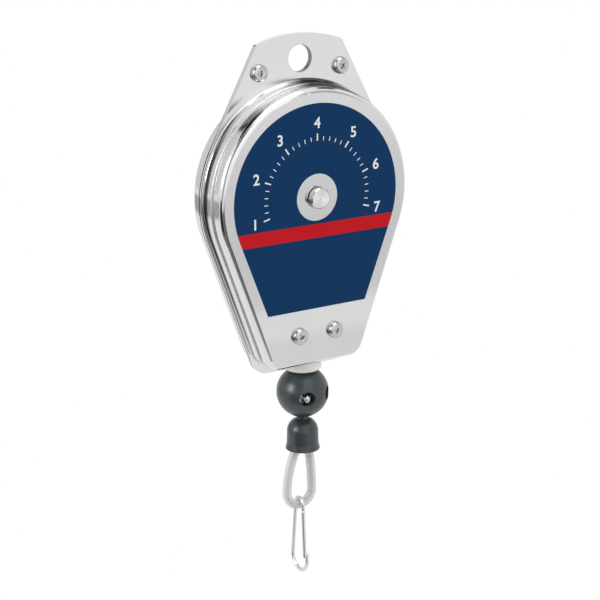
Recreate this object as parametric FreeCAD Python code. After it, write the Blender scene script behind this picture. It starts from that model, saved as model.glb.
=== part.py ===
"""Spring tool balancer: a stamped steel case with a rope drum inside, a stop ball and a snap hook.

Millimetres, +Z up, +Y to the back.  The balancer hangs by the hole in its top plate, and the
middle of that hole is the origin.  The sizes below are laid out from the spool shaft, with depths
counted from the front face, and save() moves each piece to the hanging hole.
"""
import FreeCAD, Part
import math
import os

V = FreeCAD.Vector

# ---- case ------------------------------------------------------------------------------------
SHEET = 1.5                  # steel sheet of both shells
FACE_RADIUS = 52.0           # round upper part of the case, at its front edge
SIDE_TAPER = 20.0            # each straight side leans in by this many degrees
CASE_BOTTOM = -82.8          # underside of the case
CASE_CORNER = 8.0            # bottom corners
EDGE_ROUND = 3.0             # rolled edge round the front face
STEP_OUT = 0.8               # the front shell widens by this at its shoulder
STEP_Y = 7.6                 # depth of the shoulder
STEP_ROUND = 0.35
FRONT_DEPTH = 15.0           # front face to the front of its flange
REAR_DEPTH = 9.6             # back of the rear flange to the rear face
REAR_ROUND = 3.2
FLANGE_OUT = 2.0             # flange beyond the case wall at the sides
FLANGE_BELOW = 5.6           # flange beyond the underside
FLANGE_CORNER = 9.0
FLANGE_ROOT = 1.0            # inside radius of the bend between wall and flange

# ---- hanger plate at the top -----------------------------------------------------------------
HANG_Z = 63.5                # middle of the hanging hole
HANG_RADIUS = 6.5
PLATE_OVER = 11.7            # crest of the plate above the hole's middle
PLATE_CORNER_OVER = 7.5      # its two corners, above the same
PLATE_HALF = 23.4            # half its width at the corners
PLATE_CORNER_ROUND = 1.2

# ---- fasteners -------------------------------------------------------------------------------
M4_SHANK = 2.0
M4_HOLE = 2.15
M4_HEAD = 4.1
M4_HEAD_HIGH = 2.6
M4_NUT_FLATS = 7.0
M4_NUT_HIGH = 3.2
SCREW_PAST_NUT = 0.9
TOP_SCREW_X = 22.4
TOP_SCREW_DROP = 5.1         # the top screws are this far below the hanging hole
LOW_SCREW_X = 10.0
LOW_SCREW_RISE = 15.8        # the lower screws are this far above the underside
SPACER_RADIUS = 3.0

# ---- label -----------------------------------------------------------------------------------
LABEL_RADIUS = 45.0
LABEL_Z = -0.4               # centre of its round part
LABEL_HALF_FOOT = 27.4
LABEL_FOOT_Z = -54.4
LABEL_HOLE = 11.3
LABEL_THICK = 0.15

# ---- shaft and bearings ----------------------------------------------------------------------
SHAFT_RADIUS = 5.0
SHAFT_FRONT = 3.4            # stands this far out of the front face
SHAFT_PAST_WHEEL = 3.0
RUN_FIT = 0.05               # running fit on the shaft, on the radius
FACE_GAP = 0.25              # beside a turning face
CASE_HOLE_GAP = 0.45         # ring gap round the shaft in both shells
BOSS_RADIUS = 9.0
BOSS_LONG = 2.8
WASHER_RADIUS = 7.8
WASHER_THICK = 0.8
SQUARE = 7.0                 # square end that carries the ratchet wheel
SQUARE_FIT = 0.05
CLIP_RADIUS = 5.6
CLIP_THICK = 0.8
CLIP_GROOVE = 0.9            # depth of a clip groove in the shaft
SLOT_WIDE = 1.4
SLOT_DEEP = 1.6

# ---- spool -----------------------------------------------------------------------------------
ROPE_Y = 13.5                # the rope hangs in this plane
ROPE = 1.0                   # rope radius
LANE_WIDE = 2.2              # width that each turn of rope takes
TURNS = 4                    # stored turns, beside the one that leaves the spool
SPOOL_CORE = 27.0
SPOOL_WALL = 3.6
SPOOL_RIM = 44.0
DISC = 1.5
ROPE_FIT = 0.2
LEAD_FIT = 0.02              # beside the turn that leaves the spool
LEAD_FREE = 0.8              # the rope is this far off the spool when it turns to the guide
ARBOR_RADIUS = 8.0
SPRING_STRIP = 0.6
SPRING_TURNS = 7
SPRING_FIT = 0.2
SPOOL_BOSS = 9.0
COVER_SCREWS = 3
M25_SHANK = 1.2
M25_HEAD = 2.2
M25_HEAD_HIGH = 1.0
M25_LONG = 5.0               # thread length in the drum
M25_HOLE_DEEP = 6.0
ANCHOR_RADIUS = 2.0
ANCHOR_LONG = 3.4

# ---- ratchet on the rear face ----------------------------------------------------------------
TEETH = 16
TOOTH_TIP = 11.0
TOOTH_ROOT = 9.0
WHEEL_THICK = 4.0
WHEEL_GAP = 0.3
PAWL_X = 15.5
PAWL_Z = 9.8
PAWL_EYE = 3.6
PAWL_PIN = 1.8
PAWL_PIN_HEAD = 3.0
PAWL_NOSE_HIGH = 3.4
PAWL_THICK = 3.0
PAWL_GAP = 0.16              # between the nose and the bottom of a tooth
PAWL_CLEAR = 2.0             # play beside a tooth, as degrees of turn
PAWL_WIRE = 0.4

# ---- rope guide under the case ---------------------------------------------------------------
GUIDE_COLLAR = 9.2
GUIDE_NECK = 7.0
GUIDE_ABOVE = 4.4            # guide above the underside of the case
GUIDE_BELOW = 5.8
GUIDE_MOUTH = 4.5
GUIDE_BORE = 2.0
GUIDE_FIT = 0.05
GUIDE_FUNNEL = 5.2
GUIDE_SEAT = 1.2             # depth of the seat for the ball
BEND_ABOVE = 2.6             # the rope turns upright this far above the underside
BEND_RADIUS = 9.0
RUN_BELOW = 0.2              # the stretch that pays out begins this far below it

# ---- stop ball -------------------------------------------------------------------------------
BALL_RADIUS = 13.0
BALL_FLAT = 12.6             # half the height between its two small flats
BALL_SEAT_GAP = 0.05
BALL_BORE = 1.1
BALL_AZIMUTH = 13.0          # its two clamp screws point this far right of the front
CLAMP_OFFSET = 6.8
CLAMP_POCKET = 3.5
CLAMP_WALL = 4.6             # pocket floor from the parting plane
CLAMP_SHANK = 1.75
CLAMP_TIP = 11.6
CLAMP_NUT_FLATS = 6.0
CLAMP_NUT_HIGH = 2.8
CLAMP_HEAD = 3.2
CLAMP_HEAD_HIGH = 2.2
CLAMP_FIT = 0.05

# ---- rope cap, ferrule and loop --------------------------------------------------------------
CAP_GAP = 0.1                # between the ball and the cap
CAP_CROWN = 4.2              # rubber between the neck and the ferrule
CAP_NECK = 3.0
CAP_NECK_HIGH = 1.5
CAP_SHOULDER = 7.8
CAP_RIM = 8.6
CAP_HIGH = 17.2
CAP_DOME = 6.4
CAP_WALL = 1.3
FERRULE_LONG = 9.0
FERRULE_WALL = 1.2
FERRULE_FIT = 0.1
STRAND_TOP_X = 2.7           # half the spacing of the strands where they leave the cap
SLEEVE_TOP_IN_CAP = 1.8
SLEEVE = 2.3                 # sleeve radius
SLEEVE_FIT = 0.05
LOOP_RADIUS = 7.3            # centre line at the bottom of the loop
LOOP_LEAN = -2.0             # the stiff rope sets the loop's bottom this far to the left
LOOP_DROP = 30.4             # the loop hangs this far out of the cap

# ---- snap hook -------------------------------------------------------------------------------
WIRE = 0.95
EYE_FIT = 0.15
HOOK_BEND = 6.7
HOOK_BEND_Y = 0.2            # the lower bend sits this far to the front of the rope
HOOK_DROP = 29.2             # centre of the lower bend below the bottom of the loop
TIP_RISE = 3.7               # the tip ends this far above that centre
GATE_RISE = 1.3              # and so does the gate
GATE_TOP_GAP = 0.12
GATE_SEAT = 0.08
GATE_ROOT_BELOW = 3.2

# ---- worked out ------------------------------------------------------------------------------
FLANGE_BOTTOM = CASE_BOTTOM - FLANGE_BELOW
PLATE_TOP = HANG_Z + PLATE_OVER
PLATE_CORNER_Z = HANG_Z + PLATE_CORNER_OVER
TOP_SCREW_Z = HANG_Z - TOP_SCREW_DROP
LOW_SCREW_Z = CASE_BOTTOM + LOW_SCREW_RISE
PLATE_FRONT = FRONT_DEPTH
PLATE_MID = FRONT_DEPTH + SHEET
PLATE_BACK = FRONT_DEPTH + 2 * SHEET
REAR_FACE = PLATE_BACK + REAR_DEPTH
REAR_INNER = REAR_FACE - SHEET
GUIDE_TOP = CASE_BOTTOM + GUIDE_ABOVE
GUIDE_BOTTOM = CASE_BOTTOM - GUIDE_BELOW
BEND_Z = CASE_BOTTOM + BEND_ABOVE
RUN_TOP = CASE_BOTTOM - RUN_BELOW
BALL_TOUCH = math.sqrt(BALL_RADIUS ** 2 - GUIDE_MOUTH ** 2)
BALL_Z = GUIDE_BOTTOM - BALL_TOUCH - BALL_SEAT_GAP
BALL_TOP = BALL_Z + BALL_FLAT
BALL_LOW = BALL_Z - BALL_FLAT
CAP_TOP = BALL_LOW - CAP_GAP
CAP_BOTTOM = CAP_TOP - CAP_HIGH
CAP_ROOF = CAP_TOP - CAP_NECK_HIGH - CAP_CROWN
FERRULE_TOP = CAP_ROOF
FERRULE_LOW = FERRULE_TOP - FERRULE_LONG
STRAND_Z = CAP_BOTTOM + SLEEVE_TOP_IN_CAP
LOOP_LOW = CAP_BOTTOM - LOOP_DROP
HOOK_BEND_Z = LOOP_LOW - HOOK_DROP
TIP_TOP = HOOK_BEND_Z + TIP_RISE
GATE_END = HOOK_BEND_Z + GATE_RISE
WHEEL_FRONT = REAR_FACE + WHEEL_GAP
WHEEL_BACK = WHEEL_FRONT + WHEEL_THICK
CORE_WIDE = LANE_WIDE * (TURNS + 1)
CORE_FRONT = ROPE_Y - CORE_WIDE / 2
CORE_BACK = ROPE_Y + CORE_WIDE / 2
LEAD_LANE_Y = CORE_BACK - ROPE - LEAD_FIT
LEAD_RADIUS = SPOOL_CORE + ROPE_FIT + ROPE
FRONT_BOSS_BACK = SHEET + BOSS_LONG
REAR_BOSS_FRONT = REAR_INNER - BOSS_LONG
SPRING_OUT = SPOOL_CORE - SPOOL_WALL


# ---- shared shapes ---------------------------------------------------------------------------
def save(name, *solids):
    """Write one node; a node of several like pieces is a group of solids."""
    shape = solids[0] if len(solids) == 1 else Part.makeCompound(list(solids))
    shape.translate(V(0, -PLATE_MID, -HANG_Z))
    shape.exportStep("parts/" + name + ".step")
    volume = sum(solid.Volume for solid in solids)
    print(name, "valid" if shape.isValid() else "NOT VALID", len(shape.Solids), round(volume, 1))


def rod(radius, start, end, x=0.0, z=0.0):
    """Round bar along Y."""
    return Part.makeCylinder(radius, end - start, V(x, start, z), V(0, 1, 0))


def post(radius, low, high, x=0.0, y=ROPE_Y):
    """Round bar along Z."""
    return Part.makeCylinder(radius, high - low, V(x, y, low), V(0, 0, 1))


def ring(outer, inner, start, end, x=0.0, z=0.0):
    return rod(outer, start, end, x, z).cut(rod(inner, start - 1, end + 1, x, z))


def hexagon(flats, start, end, x=0.0, z=0.0):
    """Hexagonal bar along Y."""
    corner = flats / 2 / math.cos(math.radians(30))
    points = [V(x + corner * math.cos(math.radians(60 * i)), start,
                z + corner * math.sin(math.radians(60 * i))) for i in range(7)]
    return Part.Face(Part.makePolygon(points)).extrude(V(0, end - start, 0))


def turned(points, x=0.0, z=0.0):
    """Solid of revolution about the Y direction from (radius, y) points."""
    wire = Part.makePolygon([V(x + r, y, z) for r, y in points + points[:1]])
    return Part.Face(wire).revolve(V(x, 0, z), V(0, 1, 0), 360)


def spun(points):
    """Solid of revolution about the rope's own line from (radius, z) points."""
    wire = Part.makePolygon([V(r, ROPE_Y, z) for r, z in points + points[:1]])
    return Part.Face(wire).revolve(V(0, ROPE_Y, 0), V(0, 0, 1), 360)


def pan_head(radius, high, seat, tip, shank, x, z):
    """Pan head screw: domed head in front of the seat, shank to the tip."""
    crown = radius * 0.62
    arc = Part.Arc(V(x + radius, seat - high * 0.45, z), V(x + radius * 0.88, seat - high * 0.82, z),
                   V(x + crown, seat - high, z)).toShape()
    edges = [Part.makeLine(V(x, seat, z), V(x + radius, seat, z)),
             Part.makeLine(V(x + radius, seat, z), V(x + radius, seat - high * 0.45, z)),
             arc,
             Part.makeLine(V(x + crown, seat - high, z), V(x, seat - high, z)),
             Part.makeLine(V(x, seat - high, z), V(x, seat, z))]
    head = Part.Face(Part.Wire(edges)).revolve(V(x, 0, z), V(0, 1, 0), 360)
    return head.fuse(rod(shank, seat - high / 2, tip, x, z)).removeSplitter()


def nut(flats, hole, start, end, x, z):
    """Hexagon nut with its corners turned off on the outer side."""
    bevel = flats / 2 / math.cos(math.radians(30))
    drop = bevel - flats / 2
    body = hexagon(flats, start, end, x, z)
    body = body.common(turned([(0, start), (bevel, start), (bevel, end - drop), (flats / 2, end), (0, end)],
                              x, z))
    return body.cut(rod(hole, start - 1, end + 1, x, z))


def edges_at(shape, y):
    """Edges that lie in the plane at this depth."""
    found = []
    for edge in shape.Edges:
        box = edge.BoundBox
        if abs(box.YMin - y) < 1e-4 and abs(box.YMax - y) < 1e-4:
            found.append(edge)
    return found


# ---- case outlines ---------------------------------------------------------------------------
def side_point(radius, z, side):
    """Point on the straight side that is tangent to the round top."""
    taper = math.radians(SIDE_TAPER)
    return side * (radius + z * math.sin(taper)) / math.cos(taper)


def case_outline(radius, bottom, corner, y):
    """Round top, two straight leaning sides and a flat bottom with round corners."""
    taper = math.radians(SIDE_TAPER)
    ease = corner * math.tan(math.radians(90 - SIDE_TAPER) / 2)
    foot = side_point(radius, bottom, 1)
    touch = V(radius * math.cos(taper), y, -radius * math.sin(taper))
    up = V(foot + ease * math.sin(taper), y, bottom + ease * math.cos(taper))
    along = V(foot - ease, y, bottom)
    middle = V(along.x, y, bottom + corner)
    turn = math.radians(-45 - SIDE_TAPER / 2)
    knee = V(middle.x + corner * math.cos(turn), y, middle.z + corner * math.sin(turn))

    def mirror(p):
        return V(-p.x, p.y, p.z)

    edges = [Part.Arc(touch, V(0, y, radius), mirror(touch)).toShape(),
             Part.makeLine(mirror(touch), mirror(up)),
             Part.Arc(mirror(up), mirror(knee), mirror(along)).toShape(),
             Part.makeLine(mirror(along), along),
             Part.Arc(along, knee, up).toShape(),
             Part.makeLine(up, touch)]
    return Part.Face(Part.Wire(edges))


def case_block(radius, bottom, corner, start, end):
    return case_outline(radius, bottom, corner, start).extrude(V(0, end - start, 0))


def hanger(start, end):
    """Plate above the case: tangent edges up to two corners, joined by a shallow arc."""
    round_part = FACE_RADIUS + FLANGE_OUT
    reach = math.hypot(PLATE_HALF, PLATE_CORNER_Z)
    lean = math.atan2(PLATE_HALF, PLATE_CORNER_Z) + math.acos(round_part / reach)
    touch = V(round_part * math.sin(lean), start, round_part * math.cos(lean))
    corner = V(PLATE_HALF, start, PLATE_CORNER_Z)
    edges = [Part.makeLine(touch, corner),
             Part.Arc(corner, V(0, start, PLATE_TOP), V(-corner.x, start, corner.z)).toShape(),
             Part.makeLine(V(-corner.x, start, corner.z), V(-touch.x, start, touch.z)),
             Part.makeLine(V(-touch.x, start, touch.z), touch)]
    plate = Part.Face(Part.Wire(edges)).extrude(V(0, end - start, 0))
    upright = [edge for edge in plate.Edges
               if edge.BoundBox.ZMin > PLATE_CORNER_Z - 1 and edge.BoundBox.XLength < 0.01]
    return plate.makeFillet(PLATE_CORNER_ROUND, upright)


def flange(start, end):
    plate = case_block(FACE_RADIUS + FLANGE_OUT, FLANGE_BOTTOM, FLANGE_CORNER, start, end)
    plate = plate.fuse(hanger(start, end)).removeSplitter()
    plate = plate.cut(rod(HANG_RADIUS, start - 1, end + 1, 0, HANG_Z))
    for side in (-1, 1):
        plate = plate.cut(rod(M4_HOLE, start - 1, end + 1, side * TOP_SCREW_X, TOP_SCREW_Z))
    return plate


def guide_opening():
    """Room for the rope guide: its neck through the wall, its collar past the flanges."""
    neck = post(GUIDE_NECK + GUIDE_FIT, CASE_BOTTOM - 0.1, GUIDE_TOP)
    collar = post(GUIDE_COLLAR + GUIDE_FIT, FLANGE_BOTTOM - 2, CASE_BOTTOM)
    return neck.fuse(collar)


def face_holes(start, end):
    """Holes through a front or rear face: shaft and the two lower screws."""
    holes = rod(SHAFT_RADIUS + CASE_HOLE_GAP, start, end)
    for side in (-1, 1):
        holes = holes.fuse(rod(M4_HOLE, start, end, side * LOW_SCREW_X, LOW_SCREW_Z))
    return holes


# ---- case ------------------------------------------------------------------------------------
def front_shell():
    """Deep drawn front half: rolled face edge, a shoulder half way, and the flange."""
    wide = FACE_RADIUS + STEP_OUT
    outer = case_block(FACE_RADIUS, CASE_BOTTOM, CASE_CORNER, 0, STEP_Y + 1)
    outer = outer.makeFillet(EDGE_ROUND, edges_at(outer, 0))
    shoulder = case_block(wide, CASE_BOTTOM, CASE_CORNER + STEP_OUT, STEP_Y, PLATE_MID)
    shoulder = shoulder.makeFillet(STEP_ROUND, edges_at(shoulder, STEP_Y))
    body = outer.fuse(shoulder)
    inner = case_block(FACE_RADIUS - SHEET, CASE_BOTTOM + SHEET, CASE_CORNER - SHEET, SHEET, STEP_Y + 2)
    inner = inner.makeFillet(EDGE_ROUND - SHEET, edges_at(inner, SHEET))
    hollow = case_block(wide - SHEET, CASE_BOTTOM + SHEET, CASE_CORNER + STEP_OUT - SHEET,
                        STEP_Y + SHEET, PLATE_MID + 1)
    body = with_flange(body, wide, CASE_CORNER + STEP_OUT, PLATE_FRONT, PLATE_MID, PLATE_FRONT)
    body = body.cut(inner).cut(hollow).cut(guide_opening())
    return body.cut(face_holes(-1, SHEET + 1))


def with_flange(body, radius, corner, start, end, foot_y):
    """Adds the flange to a wall and rounds the bend between them."""
    body = body.fuse(flange(start, end)).removeSplitter()
    foot = case_outline(radius, CASE_BOTTOM, corner, foot_y).OuterWire
    bend = []
    for edge in edges_at(body, foot_y):
        middle = edge.valueAt((edge.FirstParameter + edge.LastParameter) / 2)
        if foot.distToShape(Part.Vertex(middle))[0] < 1e-3:
            bend.append(edge)
    return body.makeFillet(FLANGE_ROOT, bend)


def rear_shell():
    """Shallow rear half with the same flange."""
    body = case_block(FACE_RADIUS, CASE_BOTTOM, CASE_CORNER, PLATE_MID, REAR_FACE)
    body = body.makeFillet(REAR_ROUND, edges_at(body, REAR_FACE))
    hollow = case_block(FACE_RADIUS - SHEET, CASE_BOTTOM + SHEET, CASE_CORNER - SHEET,
                        PLATE_MID - 1, REAR_INNER)
    hollow = hollow.makeFillet(REAR_ROUND - SHEET, edges_at(hollow, REAR_INNER))
    body = with_flange(body, FACE_RADIUS, CASE_CORNER, PLATE_MID, PLATE_BACK, PLATE_BACK)
    body = body.cut(hollow).cut(guide_opening())
    body = body.cut(face_holes(REAR_INNER - 1, REAR_FACE + 1))
    return body.cut(rod(PAWL_PIN, REAR_INNER - 1, REAR_FACE + 1, PAWL_X, PAWL_Z))


def face_label():
    """Sticker: round top, sides tangent to it, straight foot and a hole for the shaft."""
    foot_z = LABEL_FOOT_Z - LABEL_Z
    reach = math.hypot(LABEL_HALF_FOOT, foot_z)
    turn = math.atan2(foot_z, LABEL_HALF_FOOT) + math.acos(LABEL_RADIUS / reach)
    y = -LABEL_THICK
    right = V(LABEL_RADIUS * math.cos(turn), y, LABEL_Z + LABEL_RADIUS * math.sin(turn))
    left = V(-right.x, y, right.z)
    foot_right = V(LABEL_HALF_FOOT, y, LABEL_FOOT_Z)
    foot_left = V(-LABEL_HALF_FOOT, y, LABEL_FOOT_Z)
    edges = [Part.Arc(right, V(0, y, LABEL_Z + LABEL_RADIUS), left).toShape(),
             Part.makeLine(left, foot_left),
             Part.makeLine(foot_left, foot_right),
             Part.makeLine(foot_right, right)]
    sheet = Part.Face(Part.Wire(edges)).extrude(V(0, LABEL_THICK, 0))
    return sheet.cut(rod(LABEL_HOLE, -1, 1))


# ---- fasteners of the case -------------------------------------------------------------------
def top_screw(side):
    tip = PLATE_BACK + M4_NUT_HIGH + SCREW_PAST_NUT
    return pan_head(M4_HEAD, M4_HEAD_HIGH, PLATE_FRONT, tip, M4_SHANK, side * TOP_SCREW_X, TOP_SCREW_Z)


def top_nut(side):
    return nut(M4_NUT_FLATS, M4_SHANK, PLATE_BACK, PLATE_BACK + M4_NUT_HIGH,
               side * TOP_SCREW_X, TOP_SCREW_Z)


def lower_screw(side):
    tip = REAR_FACE + M4_NUT_HIGH + SCREW_PAST_NUT
    return pan_head(M4_HEAD, M4_HEAD_HIGH, 0, tip, M4_SHANK, side * LOW_SCREW_X, LOW_SCREW_Z)


def lower_nut(side):
    return nut(M4_NUT_FLATS, M4_SHANK, REAR_FACE, REAR_FACE + M4_NUT_HIGH,
               side * LOW_SCREW_X, LOW_SCREW_Z)


def spacer(side):
    return ring(SPACER_RADIUS, M4_HOLE, SHEET, REAR_INNER, side * LOW_SCREW_X, LOW_SCREW_Z)


# ---- shaft -----------------------------------------------------------------------------------
def shaft():
    """Fixed shaft: turned front end, square rear end with a screwdriver slot."""
    end = WHEEL_BACK + CLIP_THICK + SHAFT_PAST_WHEEL
    bevel = 0.5
    body = turned([(0, -SHAFT_FRONT + 0.4), (SHAFT_RADIUS - bevel, -SHAFT_FRONT),
                   (SHAFT_RADIUS, -SHAFT_FRONT + bevel), (SHAFT_RADIUS, WHEEL_FRONT),
                   (0, WHEEL_FRONT)])
    side = SQUARE / 2
    square = Part.makeBox(SQUARE, end - WHEEL_FRONT, SQUARE, V(-side, WHEEL_FRONT, -side))
    square = square.common(rod(SHAFT_RADIUS - 0.4, WHEEL_FRONT, end))
    body = body.fuse(square)
    body = body.cut(Part.makeBox(SHAFT_RADIUS * 2, SLOT_DEEP, SLOT_WIDE,
                                 V(-SHAFT_RADIUS, end - SLOT_DEEP, -SLOT_WIDE / 2)))
    for start in clip_places():
        groove = ring(SHAFT_RADIUS + 1, SHAFT_RADIUS - CLIP_GROOVE, start, start + CLIP_THICK)
        body = body.cut(groove)
    return body


def clip_places():
    """Front side of each clip: inside the front boss and behind the ratchet wheel."""
    return (FRONT_BOSS_BACK + FACE_GAP, WHEEL_BACK)


def shaft_clip(start):
    """Open retaining ring in its groove."""
    body = ring(CLIP_RADIUS, SHAFT_RADIUS - CLIP_GROOVE, start, start + CLIP_THICK)
    gap = Part.makeBox(3.0, CLIP_THICK + 2, CLIP_RADIUS + 1, V(-1.5, start - 1, -CLIP_RADIUS - 1))
    return body.cut(gap)


def boss(start, end):
    return ring(BOSS_RADIUS, SHAFT_RADIUS + RUN_FIT, start, end)


def washer_places():
    """Front side of each spool washer: behind the front clip and ahead of the rear boss."""
    return (clip_places()[0] + CLIP_THICK, REAR_BOSS_FRONT - WASHER_THICK)


def washer(start):
    return ring(WASHER_RADIUS, SHAFT_RADIUS + RUN_FIT, start, start + WASHER_THICK)


def spring_arbor():
    """Sleeve pinned on the shaft that holds the inner end of the mainspring."""
    start = CORE_FRONT + FACE_GAP
    end = CORE_BACK - FACE_GAP
    return ring(ARBOR_RADIUS, SHAFT_RADIUS, start, end)


# ---- spool -----------------------------------------------------------------------------------
def spool_drum():
    """Cup that carries the rope outside and the mainspring inside, with one rope disc."""
    back = CORE_BACK + DISC
    boss_back = REAR_BOSS_FRONT - WASHER_THICK - FACE_GAP
    bore = SHAFT_RADIUS + RUN_FIT
    body = turned([(bore, CORE_BACK), (SPRING_OUT, CORE_BACK), (SPRING_OUT, CORE_FRONT),
                   (SPOOL_CORE, CORE_FRONT), (SPOOL_CORE, CORE_BACK), (SPOOL_RIM, CORE_BACK),
                   (SPOOL_RIM, back), (SPOOL_BOSS, back), (SPOOL_BOSS, boss_back), (bore, boss_back)])
    for x, z in cover_screw_places():
        body = body.cut(rod(M25_SHANK, CORE_FRONT - 1, CORE_FRONT + M25_HOLE_DEEP, x, z))
    ax, az = anchor_place()
    return body.cut(rod(ANCHOR_RADIUS + RUN_FIT, CORE_BACK - 0.5, back + 1, ax, az))


def spool_cover():
    """Second rope disc; it closes the spring cup."""
    front = CORE_FRONT - DISC
    body = ring(SPOOL_RIM, SHAFT_RADIUS + RUN_FIT, front, CORE_FRONT)
    for x, z in cover_screw_places():
        body = body.cut(rod(M25_SHANK, front - 1, CORE_FRONT + 1, x, z))
    return body


def cover_screw_places():
    middle = SPOOL_CORE - SPOOL_WALL / 2
    turns = [math.radians(90 + 360 * i / COVER_SCREWS) for i in range(COVER_SCREWS)]
    return [(middle * math.cos(t), middle * math.sin(t)) for t in turns]


def cover_screw(place):
    x, z = place
    seat = CORE_FRONT - DISC
    return pan_head(M25_HEAD, M25_HEAD_HIGH, seat, CORE_FRONT + M25_LONG, M25_SHANK, x, z)


def mainspring():
    """Flat strip wound in half circles that grow by half a pitch each time."""
    start = ARBOR_RADIUS + SPRING_FIT
    pitch = (SPRING_OUT - SPRING_FIT - SPRING_STRIP - start) / SPRING_TURNS
    y = CORE_FRONT + FACE_GAP
    inner, outer = [], []
    for wall, radius_add in ((inner, 0.0), (outer, SPRING_STRIP)):
        x = start + radius_add
        for half in range(2 * SPRING_TURNS):
            way = 1 if half % 2 == 0 else -1
            radius = start + radius_add + pitch * (half + 0.5) / 2
            centre = x - way * radius
            wall.append(Part.Arc(V(x, y, 0), V(centre, y, way * radius),
                                 V(centre - way * radius, y, 0)).toShape())
            x = centre - way * radius
    ends = []
    for pick in (0, -1):
        a = inner[pick].Vertexes[pick].Point
        b = outer[pick].Vertexes[pick].Point
        ends.append(Part.makeLine(a, b))
    wire = Part.Wire(Part.__sortEdges__(inner + outer + ends))
    return Part.Face(wire).extrude(V(0, CORE_BACK - FACE_GAP - y, 0))


def stored_rope():
    """The turns that stay on the spool, side by side, as one ring with a rounded back."""
    edges = []
    low = SPOOL_CORE
    crest = low + 2 * ROPE
    for i in range(TURNS):
        front = CORE_FRONT + LANE_WIDE * i
        middle = V(crest, front + LANE_WIDE / 2, 0)
        edges.append(Part.Arc(V(low + ROPE, front, 0), middle, V(low + ROPE, front + LANE_WIDE, 0))
                     .toShape())
    back = CORE_FRONT + LANE_WIDE * TURNS
    edges += [Part.makeLine(V(low + ROPE, back, 0), V(low, back, 0)),
              Part.makeLine(V(low, back, 0), V(low, CORE_FRONT, 0)),
              Part.makeLine(V(low, CORE_FRONT, 0), V(low + ROPE, CORE_FRONT, 0))]
    return Part.Face(Part.Wire(edges)).revolve(V(0, 0, 0), V(0, 1, 0), 360)


def anchor_place():
    """Rope end button, in the spool disc just outside the core."""
    turn = math.radians(150)
    radius = SPOOL_CORE + ROPE + ANCHOR_RADIUS + 1
    return radius * math.cos(turn), radius * math.sin(turn)


def rope_anchor():
    x, z = anchor_place()
    return rod(ANCHOR_RADIUS, CORE_BACK, CORE_BACK + ANCHOR_LONG - DISC, x, z)


# ---- ratchet ---------------------------------------------------------------------------------
def wheel_outline(grow, y):
    """Saw teeth: a radial face, then a long back."""
    points = []
    for i in range(TEETH):
        tip = math.radians(90 + 360 * i / TEETH)
        root = math.radians(90 + 360 * (i + 1) / TEETH)
        points.append(V((TOOTH_TIP + grow) * math.cos(tip), y, (TOOTH_TIP + grow) * math.sin(tip)))
        points.append(V((TOOTH_ROOT + grow) * math.cos(root), y, (TOOTH_ROOT + grow) * math.sin(root)))
    return Part.Face(Part.makePolygon(points + points[:1]))


def ratchet_wheel():
    body = wheel_outline(0, WHEEL_FRONT).extrude(V(0, WHEEL_THICK, 0))
    side = SQUARE / 2 + SQUARE_FIT
    hole = Part.makeBox(2 * side, WHEEL_THICK + 2, 2 * side, V(-side, WHEEL_FRONT - 1, -side))
    return body.cut(hole)


def pawl():
    """Lever whose nose drops behind a tooth of the wheel."""
    start = WHEEL_FRONT + (WHEEL_THICK - PAWL_THICK) / 2
    nose = TOOTH_ROOT + PAWL_GAP
    points = [V(PAWL_GAP, start, nose), V(PAWL_GAP, start, nose + PAWL_NOSE_HIGH),
              V(PAWL_X, start, PAWL_Z + PAWL_EYE), V(PAWL_X, start, PAWL_Z - PAWL_EYE),
              V(PAWL_X * 0.55, start, PAWL_Z - PAWL_EYE * 0.1)]
    lever = Part.Face(Part.makePolygon(points + points[:1])).extrude(V(0, PAWL_THICK, 0))
    lever = lever.fuse(rod(PAWL_EYE, start, start + PAWL_THICK, PAWL_X, PAWL_Z)).removeSplitter()
    for turn in (-PAWL_CLEAR, 0, PAWL_CLEAR):
        room = wheel_outline(PAWL_GAP, start - 1).extrude(V(0, PAWL_THICK + 2, 0))
        room.rotate(V(0, 0, 0), V(0, 1, 0), turn)
        lever = lever.cut(room)
    solid = max(lever.Solids, key=lambda piece: piece.Volume)
    return solid.cut(rod(PAWL_PIN + RUN_FIT, start - 1, start + PAWL_THICK + 1, PAWL_X, PAWL_Z))


def pawl_pin():
    """Riveted pin of the pawl."""
    back = WHEEL_BACK + 0.9
    body = rod(PAWL_PIN, REAR_INNER - 1.0, back, PAWL_X, PAWL_Z)
    body = body.fuse(rod(PAWL_PIN_HEAD, REAR_INNER - 1.0, REAR_INNER, PAWL_X, PAWL_Z))
    head = rod(PAWL_PIN_HEAD, back, back + 1.2, PAWL_X, PAWL_Z)
    return body.fuse(head).removeSplitter()


def pawl_spring():
    """Hairpin of spring wire round the pin, its long leg over the nose of the pawl."""
    y = WHEEL_FRONT + (WHEEL_THICK + PAWL_THICK) / 2 + PAWL_WIRE + 0.05
    bend = PAWL_PIN + PAWL_WIRE + RUN_FIT
    top = V(PAWL_X, y, PAWL_Z + bend)
    low = V(PAWL_X, y, PAWL_Z - bend)
    edges = [Part.makeLine(V(3.0, y, PAWL_Z + bend), top),
             Part.Arc(top, V(PAWL_X + bend, y, PAWL_Z), low).toShape(),
             Part.makeLine(low, V(PAWL_X - 3.2, y, PAWL_Z - bend))]
    return tube(edges, PAWL_WIRE)


# ---- rope ------------------------------------------------------------------------------------
def tube(edges, radius):
    """Round bar swept along lines and tangent arcs."""
    path = Part.Wire(edges)
    first = edges[0]
    heading = first.tangentAt(first.FirstParameter)
    section = Part.Wire(Part.makeCircle(radius, first.valueAt(first.FirstParameter), heading))
    return path.makePipeShell([section], True, True)


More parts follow.
